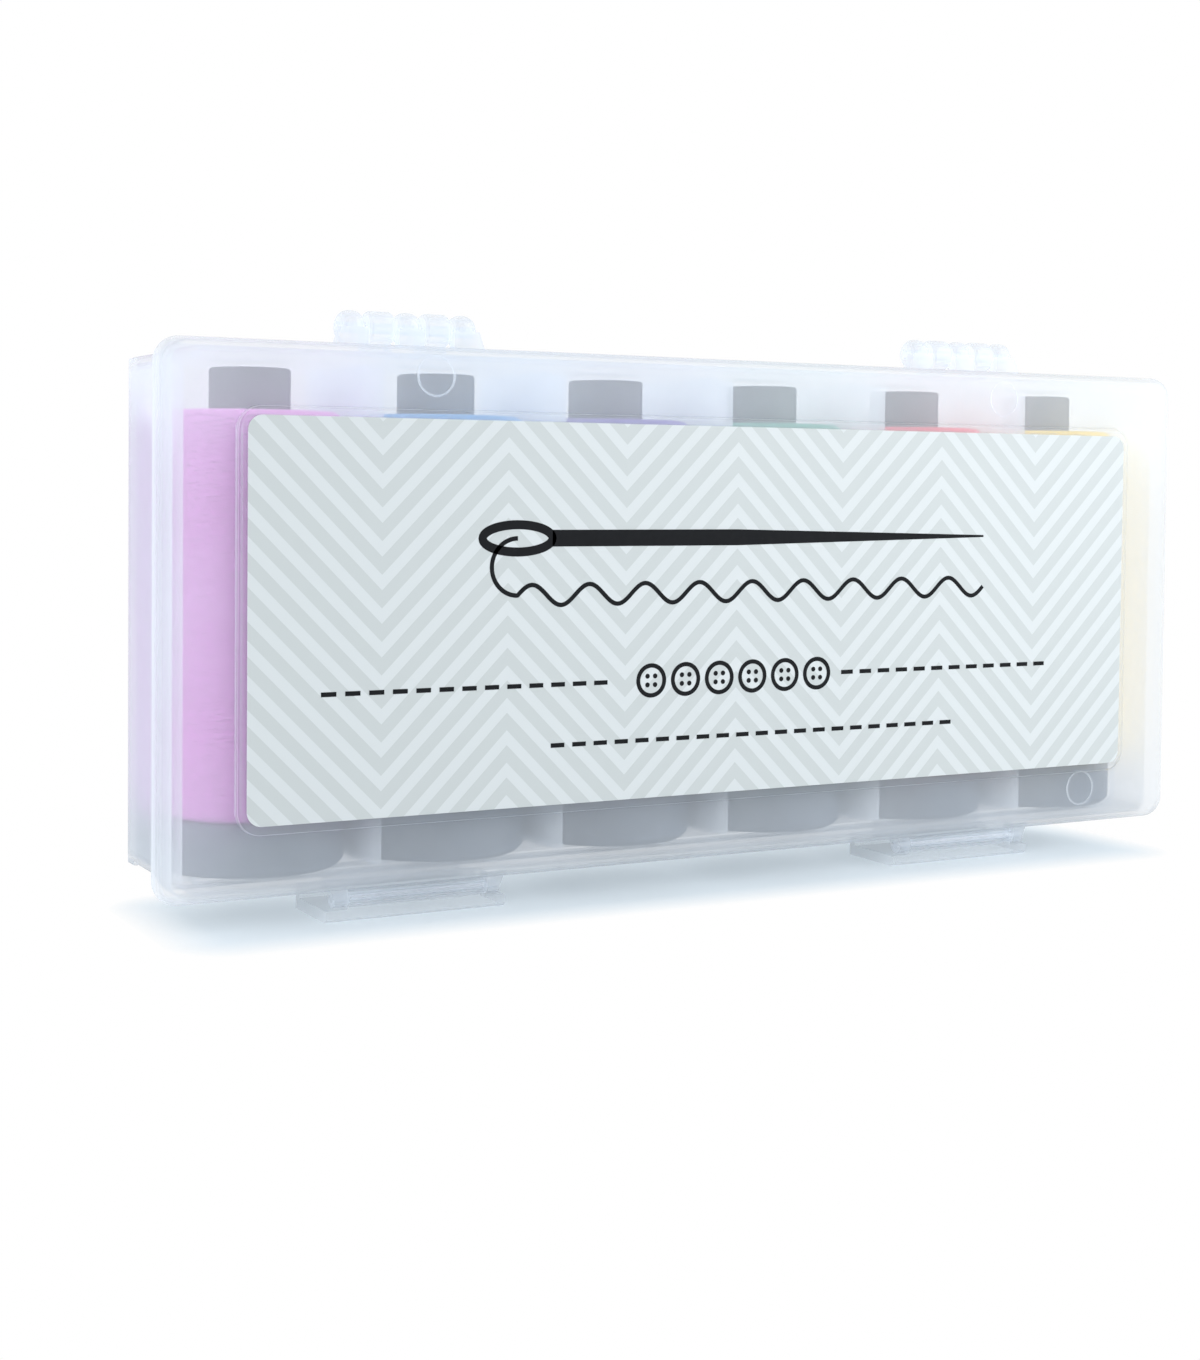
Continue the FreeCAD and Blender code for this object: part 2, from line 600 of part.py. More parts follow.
def make_latch_pins():
    """Adds one clear pin for each latch."""
    length = f"2 * ({LUG_PLACE} + Sizes.lug_thick / 2)"
    return [rod(f"{side}_latch_pin", "Sizes.latch_pin_radius", length,
                f"{sign} * {LATCH_PLACE}", LATCH_Y, LATCH_Z) for side, sign in SIDES.items()]


# Spools
def spool_x(index):
    """Place along X of a spool's axis."""
    return f"({index} - (Sizes.spool_count - 1) / 2) * {PITCH}"


def turned(label, index, floor, profile):
    """Adds a turned piece of one spool, standing at the given height."""
    body = new_body(label, spool_x(index), SPOOL_Y, floor)
    sketch = sketch_on(body, "XZ_Plane", f"{label}_profile")
    draw_polygon(sketch, profile)
    revolve(body, sketch)
    return body


def make_cap(colour, index):
    """Adds the wide foot cap, with a socket for the core and the core's bore through its floor."""
    radius, edge, height = CAP_RADIUS, "Sizes.cap_edge", "Sizes.cap_height"
    bore, floor = "Sizes.core_bore / 2", "Sizes.cap_floor"
    socket = "Sizes.core_diameter / 2 + Sizes.core_seat_gap"
    return turned(f"{colour}_spool_cap", index, SPOOL_FLOOR, [
        (bore, 0), (f"{radius} - {edge}", 0), (radius, edge), (radius, f"{height} - {edge} / 2"),
        (f"{radius} - {edge} / 2", height), (socket, height), (socket, floor), (bore, floor)])


def make_core(colour, index):
    """Adds the core tube, which stands in the cap and shows above the thread."""
    length = f"{CORE_TOP} - Sizes.cap_floor"
    radius, bore, edge = "Sizes.core_diameter / 2", "Sizes.core_bore / 2", "Sizes.core_edge"
    return turned(f"{colour}_spool_core", index, f"{SPOOL_FLOOR} + Sizes.cap_floor", [
        (bore, 0), (radius, 0), (radius, f"{length} - {edge}"), (f"{radius} - {edge}", length),
        (f"{bore} + {edge}", length), (bore, f"{length} - {edge}")])


def make_package(colour, index):
    """Adds the plain body of thread under the outer winding."""
    radius = f"{THREAD_RADIUS} - {WRAP_DIAMETER} - Sizes.wrap_gap"
    inside = "Sizes.core_diameter / 2 + Sizes.core_seat_gap"
    edge, height = "Sizes.thread_edge", THREAD_HEIGHT
    return turned(f"{colour}_thread_package", index, THREAD_FLOOR, [
        (inside, 0), (f"{radius} - {edge}", 0), (radius, edge), (radius, f"{height} - {edge}"),
        (f"{radius} - {edge}", height), (inside, height)])


def arc_from(start, tangent, end):
    """Makes the arc that leaves start along the tangent and ends at end."""
    chord = end - start
    along = chord.dot(tangent) / chord.Length
    across = tangent - chord * (along / chord.Length)
    sag = chord.Length / 2 * math.tan(math.acos(along) / 2)
    return Part.Arc(start, (start + end) / 2 + across.normalize() * sag, end)


def biarc(start, leaving, end, arriving):
    """Makes two arcs that join two points along their tangents."""
    chord, both = end - start, leaving + arriving
    slack = 2 * (1 - leaving.dot(arriving))
    reach = (math.sqrt(chord.dot(both) ** 2 + slack * chord.dot(chord)) - chord.dot(both)) / slack
    middle = (start + leaving * reach + end - arriving * reach) / 2
    heading = (end - arriving * reach - start - leaving * reach).normalize()
    return [arc_from(start, leaving, middle), arc_from(middle, heading, end)]


def winding_path():
    """Works out the outer layer of thread: one helix with a straight run at each end."""
    tube = number(WRAP_DIAMETER)
    radius = number(THREAD_RADIUS) - tube / 2
    turns = int(number("Sizes.wrap_turns"))
    climb = number(WRAP_PITCH) / (2 * math.pi)

    def point(angle):
        return Vector(radius * math.cos(angle), radius * math.sin(angle), tube + climb * angle)

    def heading(angle):
        return Vector(-radius * math.sin(angle), radius * math.cos(angle), climb).normalize()

    bends = [index * math.pi for index in range(2 * turns + 1)]
    curves = [Part.LineSegment(point(bends[0]) - heading(bends[0]) * tube, point(bends[0]))]
    for low, high in zip(bends, bends[1:]):
        curves += biarc(point(low), heading(low), point(high), heading(high))
    curves.append(Part.LineSegment(point(bends[-1]), point(bends[-1]) + heading(bends[-1]) * tube))
    return [curve.toShape() for curve in curves], tube


def report_gap(edges, tube):
    """Measures the winding's least gap to itself on points along its path, and prints it."""
    steps_per_edge = 8
    points = []
    for edge in edges:
        points += edge.discretize(Number=steps_per_edge)[:-1]
    turn = 4 * (steps_per_edge - 1)
    skip = turn // 2
    gaps = [(points[a] - points[b]).Length for a in range(len(points))
            for b in range(a + skip, min(a + 2 * turn, len(points)))]
    print("winding: least gap to itself", round(min(gaps) - tube, 3), "mm")


def wind_thread():
    """Makes the winding's tube once, for all spools."""
    edges, tube = winding_path()
    report_gap(edges, tube)
    first = edges[0]
    end = first.Vertexes[0].Point
    section = Part.Wire([Part.Circle(end, first.tangentAt(first.FirstParameter), tube / 2).toShape()])
    return Part.Wire(edges).makePipeShell([section], True, False)


def make_winding(colour, index, tube):
    """Adds the outer layer of thread to one spool."""
    item = doc.addObject("Part::Feature", f"{colour}_thread_winding")
    item.Label = f"{colour}_thread_winding"
    item.Shape = tube
    place(item, spool_x(index), SPOOL_Y, THREAD_FLOOR)
    return item


def make_spools():
    """Adds the six spools, each with its cap, core, thread package and winding."""
    tube = wind_thread()
    made = []
    for index, colour in enumerate(COLOURS):
        made += [make_cap(colour, index), make_core(colour, index), make_package(colour, index)]
        made.append(make_winding(colour, index, tube))
    return made


def check_all():
    """Stops if any object of the document failed."""
    for item in doc.Objects:
        if "Invalid" in item.State or "Error" in item.State:
            raise RuntimeError(f"{item.Label} failed: {item.State}")


def write_parts(pieces):
    """Checks each piece and writes it to its own file."""
    os.makedirs("parts", exist_ok=True)
    for piece in pieces:
        if piece.Shape.isNull() or not piece.Shape.isValid():
            raise RuntimeError(f"{piece.Label} has no valid shape")
    for piece in pieces:
        piece.Shape.exportStep(f"parts/{piece.Label}.step")


nodes = [make_base(), make_lid(), make_label()] + make_hinge_pins() + make_latch_pins()
nodes += [make_latch(side, sign) for side, sign in SIDES.items()] + make_spools()
doc.recompute()
check_all()
write_parts(nodes)
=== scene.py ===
"""Looks of the thread box: milky clear case, printed label, wound thread and a white studio.

Metres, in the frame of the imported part: X along the case, Z up, the lid towards -Y.
"""
import math
import random

import bpy
from mathutils import Matrix, Vector


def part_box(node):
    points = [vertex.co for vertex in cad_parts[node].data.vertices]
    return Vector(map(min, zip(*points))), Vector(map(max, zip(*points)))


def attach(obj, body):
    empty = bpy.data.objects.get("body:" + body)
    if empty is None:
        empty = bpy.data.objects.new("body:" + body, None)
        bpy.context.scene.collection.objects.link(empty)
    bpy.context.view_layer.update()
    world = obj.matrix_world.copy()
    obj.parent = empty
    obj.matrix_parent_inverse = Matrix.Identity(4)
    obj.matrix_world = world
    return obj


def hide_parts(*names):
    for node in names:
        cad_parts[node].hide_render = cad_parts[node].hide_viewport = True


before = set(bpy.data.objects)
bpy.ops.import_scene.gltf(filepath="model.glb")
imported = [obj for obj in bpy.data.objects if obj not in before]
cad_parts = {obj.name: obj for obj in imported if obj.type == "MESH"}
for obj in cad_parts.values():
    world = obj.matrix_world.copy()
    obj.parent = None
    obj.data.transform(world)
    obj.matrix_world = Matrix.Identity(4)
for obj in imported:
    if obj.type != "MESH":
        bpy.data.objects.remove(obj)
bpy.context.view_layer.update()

# Camera, fitted to the photograph
IMAGE_WIDTH_PX = 1200
IMAGE_HEIGHT_PX = 1360
FOCAL_PX = 2040.16
AXIS_X_PX = 597.99
AXIS_Y_PX = 555.85
CAMERA_PLACE = (-0.18003, -0.29783, 0.06716)
CAMERA_YAW_DEG = 28.78
CAMERA_PITCH_DEG = 2.07
CAMERA_ROLL_DEG = 0.57
SENSOR_MM = 36.0

# Light
SKY_COLOUR = (0.96, 0.98, 1.0)
SKY_STRENGTH = 0.53
WHITE = (1.0, 1.0, 1.0)
LAMPS = {
    "back_softbox": {"place": (-0.15, 0.55, 0.95), "size": 0.9, "power": 2.0},
    "right_softbox": {"place": (0.45, -0.40, 0.30), "size": 0.5, "power": 2.7},
    "left_softbox": {"place": (-0.80, 0.02, 0.40), "size": 0.7, "power": 2.9},
}
LAMP_TARGET = (0.0, 0.0, 0.04)
LAMP_COLOUR = (0.97, 0.985, 1.0)
FLOOR_HALF = 3.0
FLOOR_COLOUR = (0.90, 0.94, 0.97)
FLOOR_ROUGHNESS = 0.7
FLOOR_GLOSS = 0.1
# Painted light: under and around the case this bluish glow makes up the first of the glow shares of the
# floor, lightening and tinting its shadow; further out the floor glows plain white
FLOOR_PAINTED_SHADOW_GLOW = (0.58, 0.80, 0.96)
FLOOR_GLOW_SHARES = (0.48, 1.0)

# The floor is shaded inside this oblong and turns white over a short way around it
SHADE_MIDDLE = (0.0, -0.001, 0.0)
SHADE_HALF = (0.085, 0.0135, 0.0)
SHADE_FADE = 0.010

# Clear plastic
TRANSPARENT_LAYERS = 64
PLASTIC_COLOUR = (0.865, 0.905, 0.95)
GLOW_THROUGH_SHARE = 0.45
PLASTIC_ROUGHNESS = 0.2
PLASTIC_IOR = 1.49
EDGE_POWER = 2.5
# Painted shade: the plastic's colour darkens towards this bluish grey where a surface is seen edge-on,
# drawing dark outlines
PAINTED_EDGE_SHADE = (0.40, 0.47, 0.55)
PAINTED_EDGE_SHADE_POWER = 3.0
END_POWER = 2.0
SHADOW_SHARE = 0.04
CLOUD_SCALE = 45.0
CLOUD_DETAIL = 3.0
CLOUD_SHARES = (0.8, 1.2)

# How milky the plastic looks: at least, along edges, on bevels, and on walls square to its length,
# which are the insides of the ends, the dividers and the outsides of the ends
CASE_MILK = {"least_share": 0.31, "edge_share": 0.75, "slant_share": 0.55,
             "inside_share": 0.25, "divider_share": 0.60, "outside_share": 0.80}
FITTING_MILK = {"least_share": 0.24, "edge_share": 0.75, "slant_share": 0.6,
                "inside_share": 0.45, "divider_share": 0.45, "outside_share": 0.45}

# From the middle along X, the dividers lie within the first distance and the ends past the second
DIVIDER_REACH = 0.065
END_REACH = 0.088

# The largest part of a surface's normal: a bevel up to the first value, a plain wall from the second
SLANT_SQUARENESS = (0.75, 0.98)

# Grained finishes: the colours that the grain runs between, its fineness, the roughness, relief and gloss
GRAIN_DETAIL = 6.0
GRAIN_STRENGTH = 0.4
INK = {"colours": ((0.008, 0.009, 0.011), (0.014, 0.015, 0.017)),
       "scale": 900.0, "roughness": 0.7, "relief": 0.00001, "gloss": 0.1}
PAPER = {"colours": ((0.50, 0.53, 0.54), (0.60, 0.63, 0.64)),
         "scale": 400.0, "roughness": 0.7, "relief": 0.00002, "gloss": 0.5}
CAP = {"colours": ((0.085, 0.112, 0.150), (0.122, 0.152, 0.195)),
       "scale": 220.0, "roughness": 0.4, "relief": 0.00005, "gloss": 0.5}
CORE = {"colours": ((0.009, 0.013, 0.021), (0.026, 0.034, 0.050)),
        "scale": 700.0, "roughness": 0.6, "relief": 0.0001, "gloss": 0.5}

# Label, with chevrons whose halves are a column wide and whose stripes take a share of each period
LABEL_GROUND = (0.60, 0.64, 0.64)
LABEL_STRIPE = (0.705, 0.745, 0.755)
LABEL_COLUMN = 0.0208125
LABEL_PERIOD = 0.0050
LABEL_STRIPE_SHARE = 0.46
LABEL_ROUGHNESS = 0.45
INK_LIFT = 0.00003

# The label's reverse, a sheet just under the lid's surface that shows when the lid is open
REVERSE = {"inset": 0.0002, "corner": 0.0021, "front": 0.00005, "back": 0.0001}

# The label lies on a raised panel, this far out of the lid's front
PLATEAU_RISE = 0.00105

# Generic print on the label: a needle with its thread, rows of stitches and a row of buttons
NEEDLE = {"left": -0.046, "right": 0.051, "height": 0.0118, "half": 0.0013, "point": 0.000175}
EYE = {"length": 0.0120, "half_height": 0.0021, "line": 0.0007}
TAIL = {"height": 0.0030, "swing": 0.0016, "waves": 9, "line": 0.00035, "steps": 216}
STITCH = {"long": 0.0024, "gap": 0.0014, "half": 0.00035}
STITCH_ROWS = ((-0.0110, -0.072, -0.021), (-0.0110, 0.021, 0.070), (-0.0205, -0.034, 0.046))
BUTTON = {"count": 6, "pitch": 0.0064, "height": -0.0110, "radius": 0.0024, "line": 0.00035,
          "hole": 0.0004, "apart": 0.0007}
CURVE_STEPS = 48

# Marks left on the lid by the mould, as places along X and Z
MARK_PLACES = ((-0.0533, 0.0829), (0.0563, 0.0825), (0.0753, 0.0124))
MARK = {"radius": 0.0030, "line": 0.00016, "lift": 0.00008}

# Spools
COLOURS = ("pink", "blue", "violet", "green", "red", "yellow")
THREAD_COLOURS = {
    "pink": (0.84, 0.27, 0.80),
    "blue": (0.05, 0.33, 0.72),
    "violet": (0.13, 0.07, 0.45),
    "green": (0.02, 0.32, 0.22),
    "red": (0.80, 0.02, 0.07),
    "yellow": (0.95, 0.66, 0.03),
}
DYE = {"deep_share": 0.78, "scale": 900.0, "detail": 4.0}
THREAD_ROUGHNESS = 0.6
THREAD_SHEEN = 0.25

# Thread on a spool: one strand that runs up and down in passes, partly sunk in a solid body
STRAND_RADIUS = 0.00020
STRAND_SIDES = 5
STRAND_STEPS_PER_TURN = 36
STRAND_PASSES = 56
STRAND_TURNS_PER_PASS = 5.37
STRAND_LAYER_RISE = 0.00012
STRAND_END_JITTER = 0.0006
STRAND_SUNK_SHARE = 0.28
BODY_SHOULDER = 0.0012
BODY_SIDES = 96
BODY_ROUND_STEPS = 6
SEED = 7


# Nodes of a material
def add_node(tree, kind, **inputs):
    """Adds a shader node and sets its unlinked inputs by name."""
    node = tree.nodes.new(kind)
    for name, value in inputs.items():
        node.inputs[name.replace("_", " ")].default_value = value
    return node


def math_node(tree, operation, first, second=None):
    """Adds a math node; each operand is a number or a socket."""
    node = tree.nodes.new("ShaderNodeMath")
    node.operation = operation
    for index, value in enumerate((first, second)):
        if value is None:
            continue
        if isinstance(value, bpy.types.NodeSocket):
            tree.links.new(value, node.inputs[index])
        else:
            node.inputs[index].default_value = value
    return node.outputs[0]


def opaque(colour):
    """Gives a colour with full alpha."""
    return (*colour, 1.0)


def new_material(name):
    """Makes a material and returns it with its node tree, its main shader and its output."""
    material = bpy.data.materials.new(name)
    material.use_nodes = True
    tree = material.node_tree
    return material, tree, tree.nodes["Principled BSDF"], tree.nodes["Material Output"]


def place_in(tree):
    """Gives the socket with the surface's place in the part's own frame."""
    return tree.nodes.new("ShaderNodeTexCoord").outputs["Object"]


def noise_of(tree, scale, detail):
    """Gives the socket of a noise over the surface's place."""
    noise = add_node(tree, "ShaderNodeTexNoise", Scale=scale, Detail=detail)
    tree.links.new(place_in(tree), noise.inputs["Vector"])
    return noise.outputs["Fac"]


def between(tree, factor, low, high):
    """Gives a colour socket that runs between two colours."""
    mix = tree.nodes.new("ShaderNodeMix")
    mix.data_type = "RGBA"
    tree.links.new(factor, mix.inputs["Factor"])
    mix.inputs["A"].default_value = opaque(low)
    mix.inputs["B"].default_value = opaque(high)
    return mix.outputs["Result"]


# Clear plastic
def parts_of(tree, socket):
    """Splits a vector into its X, Y and Z sockets."""
    split = tree.nodes.new("ShaderNodeSeparateXYZ")
    tree.links.new(socket, split.inputs["Vector"])
    return split.outputs


def mapped(tree, value, reach, shares):
    """Gives a socket that runs between two shares while a value runs through its reach."""
    node = add_node(tree, "ShaderNodeMapRange", From_Min=reach[0], From_Max=reach[1],
                    To_Min=shares[0], To_Max=shares[1])
    tree.links.new(value, node.inputs["Value"])
    return node.outputs["Result"]


def largest(tree, first, *others):
    """Gives the largest of several sockets, of which the first may be a number."""
    for other in others:
        first = math_node(tree, "MAXIMUM", first, other)
    return first


def milkiness(tree, facing, milk):
    """Gives how milky the plastic is at a place."""
    place = parts_of(tree, place_in(tree))
    normal = parts_of(tree, tree.nodes.new("ShaderNodeTexCoord").outputs["Normal"])
    squares = [math_node(tree, "ABSOLUTE", normal[axis]) for axis in "XYZ"]
    rim = math_node(tree, "MULTIPLY", math_node(tree, "POWER", facing, EDGE_POWER), milk["edge_share"])
    outward = math_node(tree, "MULTIPLY", place["X"], normal["X"])
    inner_shares = (milk["inside_share"], milk["divider_share"])
    inside = mapped(tree, outward, (-END_REACH, -DIVIDER_REACH), inner_shares)
    outside = mapped(tree, outward, (DIVIDER_REACH, END_REACH), (0.0, milk["outside_share"]))
    crosswise = math_node(tree, "POWER", squares[0], END_POWER)
    end = math_node(tree, "MULTIPLY", crosswise, largest(tree, inside, outside))
    slant = mapped(tree, largest(tree, *squares), SLANT_SQUARENESS, (milk["slant_share"], 0.0))
    cloud = mapped(tree, noise_of(tree, CLOUD_SCALE, CLOUD_DETAIL), (0.0, 1.0), CLOUD_SHARES)
    return math_node(tree, "MULTIPLY", largest(tree, milk["least_share"], rim, end, slant), cloud)


def clear_plastic(name, milk):
    """Makes milky clear plastic, which lets light pass to what is behind it; its colour is darkened
    towards a painted shade where a surface is seen edge-on.
    """
    material, tree, shader, output = new_material(name)
    shader.inputs["Roughness"].default_value = PLASTIC_ROUGHNESS
    shader.inputs["IOR"].default_value = PLASTIC_IOR
    facing = tree.nodes.new("ShaderNodeLayerWeight").outputs["Facing"]
    # Painted shade: the base colour darkens towards a bluish grey where the surface is seen edge-on
    painted_edge_shade = math_node(tree, "POWER", facing, PAINTED_EDGE_SHADE_POWER)
    tree.links.new(between(tree, painted_edge_shade, PLASTIC_COLOUR, PAINTED_EDGE_SHADE), shader.inputs["Base Color"])
    shadow_ray = tree.nodes.new("ShaderNodeLightPath").outputs["Is Shadow Ray"]
    dimmed = mapped(tree, shadow_ray, (0.0, 1.0), (1.0, SHADOW_SHARE))
    glow = add_node(tree, "ShaderNodeMixShader", Fac=GLOW_THROUGH_SHARE)
    through = add_node(tree, "ShaderNodeBsdfTranslucent", Color=opaque(PLASTIC_COLOUR))
    tree.links.new(shader.outputs["BSDF"], glow.inputs[1])
    tree.links.new(through.outputs["BSDF"], glow.inputs[2])
    mix = tree.nodes.new("ShaderNodeMixShader")
    tree.links.new(math_node(tree, "MULTIPLY", milkiness(tree, facing, milk), dimmed), mix.inputs["Fac"])
    tree.links.new(tree.nodes.new("ShaderNodeBsdfTransparent").outputs["BSDF"], mix.inputs[1])
    tree.links.new(glow.outputs["Shader"], mix.inputs[2])
    tree.links.new(mix.outputs["Shader"], output.inputs["Surface"])
    return material


# Label
def label_film(middle):
    """Makes the label's ground: pale chevron stripes on sage."""
    material, tree, shader, _ = new_material("label_film")
    place = parts_of(tree, place_in(tree))
    zigzag = math_node(tree, "PINGPONG", place["X"], LABEL_COLUMN)
    height = math_node(tree, "SUBTRACT", place["Z"], middle)
    along = math_node(tree, "DIVIDE", math_node(tree, "ADD", height, zigzag), LABEL_PERIOD)
    stripe = math_node(tree, "LESS_THAN", math_node(tree, "FRACT", along), LABEL_STRIPE_SHARE)
    tree.links.new(between(tree, stripe, LABEL_GROUND, LABEL_STRIPE), shader.inputs["Base Color"])
    shader.inputs["Roughness"].default_value = LABEL_ROUGHNESS
    return material


# Raised lines on the lid's front
def ribbon(path, halves, front, lift, closed=False):
    """Gives points and faces of a thin flat band along a path of (x, z), standing out of a front plane."""
    points, faces = [], []
    count = len(path)
    for index, (x, z) in enumerate(path):
        before = path[index - 1] if closed or index else path[0]
        after = path[(index + 1) % count] if closed or index + 1 < count else path[-1]
        along = Vector((after[0] - before[0], after[1] - before[1])).normalized()
        dx, dz = -along.y * halves[index], along.x * halves[index]
        for y in (front - lift, front + lift):
            points += [(x + dx, y, z + dz), (x - dx, y, z - dz)]
    for index in range(count if closed else count - 1):
        here, there = 4 * index, 4 * ((index + 1) % count)
        for a, b in ((0, 1), (1, 3), (3, 2), (2, 0)):
            faces.append((here + a, here + b, there + b, there + a))
    if not closed:
        faces += [(0, 2, 3, 1), (4 * count - 4, 4 * count - 3, 4 * count - 1, 4 * count - 2)]
    return points, faces


def round_path(x, z, width, height, first=0.0, sweep=2 * math.pi, steps=CURVE_STEPS):
    """Gives points on an oval or a part of one."""
    turns = [first + sweep * step / steps for step in range(steps)]
    return [(x + width * math.cos(turn), z + height * math.sin(turn)) for turn in turns]


def merged(bands):
    """Joins the points and faces of several bands."""
    points, faces = [], []
    for band_points, band_faces in bands:
        faces += [tuple(index + len(points) for index in face) for face in band_faces]
        points += band_points
    return points, faces


def even(path, half):
    """Pairs a path with one width all along."""
    return path, [half] * len(path)


def needle_bands():
    """Draws the needle with its eye and the thread that waves away from it."""
    left, right, height = NEEDLE["left"], NEEDLE["right"], NEEDLE["height"]
    eye_middle = left + EYE["length"] / 2
    shank = [(left + EYE["length"], height), (0.0, height), (right, height)]
    eye = round_path(eye_middle, height, EYE["length"] / 2, EYE["half_height"])
    drop = height - TAIL["height"]
    tail = round_path(eye_middle, TAIL["height"] + drop / 2, drop / 2, drop / 2, math.pi / 2, math.pi)
    for step in range(TAIL["steps"] + 1):
        share = step / TAIL["steps"]
        tail.append((eye_middle + share * (right - eye_middle),
                     TAIL["height"] + TAIL["swing"] * math.sin(2 * math.pi * TAIL["waves"] * share)))
    return [(shank, [NEEDLE["half"], NEEDLE["half"], NEEDLE["point"]], False),
            (*even(eye, EYE["line"]), True), (*even(tail, TAIL["line"]), False)]


def stitch_bands():
    """Draws the rows of running stitches."""
    bands = []
    for height, left, right in STITCH_ROWS:
        count = int((right - left) / (STITCH["long"] + STITCH["gap"]))
        for index in range(count):
            x = left + index * (STITCH["long"] + STITCH["gap"])
            bands.append((*even([(x, height), (x + STITCH["long"], height)], STITCH["half"]), False))
    return bands


def button_bands():
    """Draws the row of buttons, each a ring with four holes."""
    bands = []
    for index in range(BUTTON["count"]):
        x = (index - (BUTTON["count"] - 1) / 2) * BUTTON["pitch"]
        rim = round_path(x, BUTTON["height"], BUTTON["radius"], BUTTON["radius"])
        bands.append((*even(rim, BUTTON["line"]), True))
        for right in (-BUTTON["apart"], BUTTON["apart"]):
            for up in (-BUTTON["apart"], BUTTON["apart"]):
                hole = round_path(x + right, BUTTON["height"] + up, BUTTON["hole"] / 2, BUTTON["hole"] / 2)
                bands.append((*even(hole, BUTTON["hole"] / 2), True))
    return bands


def print_label(low, high, ink):
    """Adds the dark print on the label."""
    middle = (low.z + high.z) / 2
    bands = []
    for path, halves, closed in needle_bands() + stitch_bands() + button_bands():
        bands.append(ribbon([(x, z + middle) for x, z in path], halves, low.y, INK_LIFT, closed))
    piece = add_mesh("label_print", *merged(bands), ink, smooth=False)
    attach(piece, "lid")


def rounded_outline(half_x, half_z, corner):
    """Gives the points of an oblong with round corners about the middle."""
    points = []
    for quarter, (right, up) in enumerate(((1, 1), (-1, 1), (-1, -1), (1, -1))):
        for step in range(CURVE_STEPS + 1):
            turn = (quarter + step / CURVE_STEPS) * math.pi / 2
            points.append((right * (half_x - corner) + corner * math.cos(turn),
                           up * (half_z - corner) + corner * math.sin(turn)))
    return points


def back_label(low, high, paper):
    """Adds the reverse of the label."""
    middle = (low + high) / 2
    half = (high - low) / 2
    outline = rounded_outline(half.x - REVERSE["inset"], half.z - REVERSE["inset"], REVERSE["corner"])
    layers = (high.y + REVERSE["front"], high.y + REVERSE["back"])
    points = [(middle.x + x, y, middle.z + z) for y in layers for x, z in outline]
    count = len(outline)
    faces = [tuple(range(count)), tuple(reversed(range(count, 2 * count)))]
    for index in range(count):
        after = (index + 1) % count
        faces.append((index, index + count, after + count, after))
    piece = add_mesh("label_reverse", points, faces, paper, smooth=False)
    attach(piece, "lid")


def mark_lid(front, plastic):
    """Adds the small rings that the mould left on the lid."""
    bands = []
    for x, z in MARK_PLACES:
        ring = round_path(x, z, MARK["radius"], MARK["radius"])
        bands.append(ribbon(*even(ring, MARK["line"]), front, MARK["lift"], closed=True))
    piece = add_mesh("lid_mould_marks", *merged(bands), plastic, smooth=False)
    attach(piece, "lid")


# Plain finishes
def grained(name, finish):
    """Makes a material with a fine grain in its colour and its relief."""
    material, tree, shader, _ = new_material(name)
    grain = noise_of(tree, finish["scale"], GRAIN_DETAIL)
    tree.links.new(between(tree, grain, *finish["colours"]), shader.inputs["Base Color"])
    shader.inputs["Roughness"].default_value = finish["roughness"]
    shader.inputs["Specular IOR Level"].default_value = finish["gloss"]
    bump = add_node(tree, "ShaderNodeBump", Strength=GRAIN_STRENGTH, Distance=finish["relief"])
    tree.links.new(grain, bump.inputs["Height"])
    tree.links.new(bump.outputs["Normal"], shader.inputs["Normal"])
    return material


def thread_finish(colour_name):
    """Makes the thread's finish: a soft sheen over slightly uneven dye."""
    material, tree, shader, _ = new_material(f"{colour_name}_thread")
    colour = THREAD_COLOURS[colour_name]
    deep = tuple(DYE["deep_share"] * value for value in colour)
    unevenness = noise_of(tree, DYE["scale"], DYE["detail"])
    tree.links.new(between(tree, unevenness, deep, colour), shader.inputs["Base Color"])
    shader.inputs["Roughness"].default_value = THREAD_ROUGHNESS
    shader.inputs["Sheen Weight"].default_value = THREAD_SHEEN
    return material


# Meshes
def add_mesh(name, points, faces, material, smooth=True):
    """Adds a mesh object from points and faces."""
    mesh = bpy.data.meshes.new(name)
    mesh.from_pydata(points, [], faces)
    mesh.polygons.foreach_set("use_smooth", [smooth] * len(mesh.polygons))
    mesh.materials.append(material)
    mesh.validate()
    item = bpy.data.objects.new(name, mesh)
    bpy.context.scene.collection.objects.link(item)
    return item


def dress(node, material):
    """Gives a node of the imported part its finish."""
    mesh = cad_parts[node].data
    mesh.materials.clear()
    mesh.materials.append(material)


def lathe(profile, x, y):
    """Gives points and faces of a closed profile of (radius, height) turned about a vertical axis."""
    points, faces = [], []
    count = len(profile)
    for side in range(BODY_SIDES):
        turn = 2 * math.pi * side / BODY_SIDES
        points += [(x + r * math.cos(turn), y + r * math.sin(turn), z) for r, z in profile]
    for side in range(BODY_SIDES):
        here, there = side * count, (side + 1) % BODY_SIDES * count
        for index in range(count):
            after = (index + 1) % count
            faces.append((here + index, there + index, there + after, here + after))
    return points, faces


def strand_tube(path):
    """Gives points and faces of a thin tube along a path."""
    points, faces = [], []
    last = len(path) - 1
    for index, spot in enumerate(path):
        ahead = (path[min(index + 1, last)] - path[max(index - 1, 0)]).normalized()
        side = ahead.cross(Vector((0, 0, 1))).normalized()
        up = side.cross(ahead)
        for step in range(STRAND_SIDES):
            turn = 2 * math.pi * step / STRAND_SIDES
            points.append(spot + (side * math.cos(turn) + up * math.sin(turn)) * STRAND_RADIUS)
    for index in range(last):
        here, there = index * STRAND_SIDES, (index + 1) * STRAND_SIDES
        for step in range(STRAND_SIDES):
            after = (step + 1) % STRAND_SIDES
            faces.append((here + step, here + after, there + after, there + step))
    faces.append(tuple(reversed(range(STRAND_SIDES))))
    faces.append(tuple(range(last * STRAND_SIDES, (last + 1) * STRAND_SIDES)))
    return points, faces


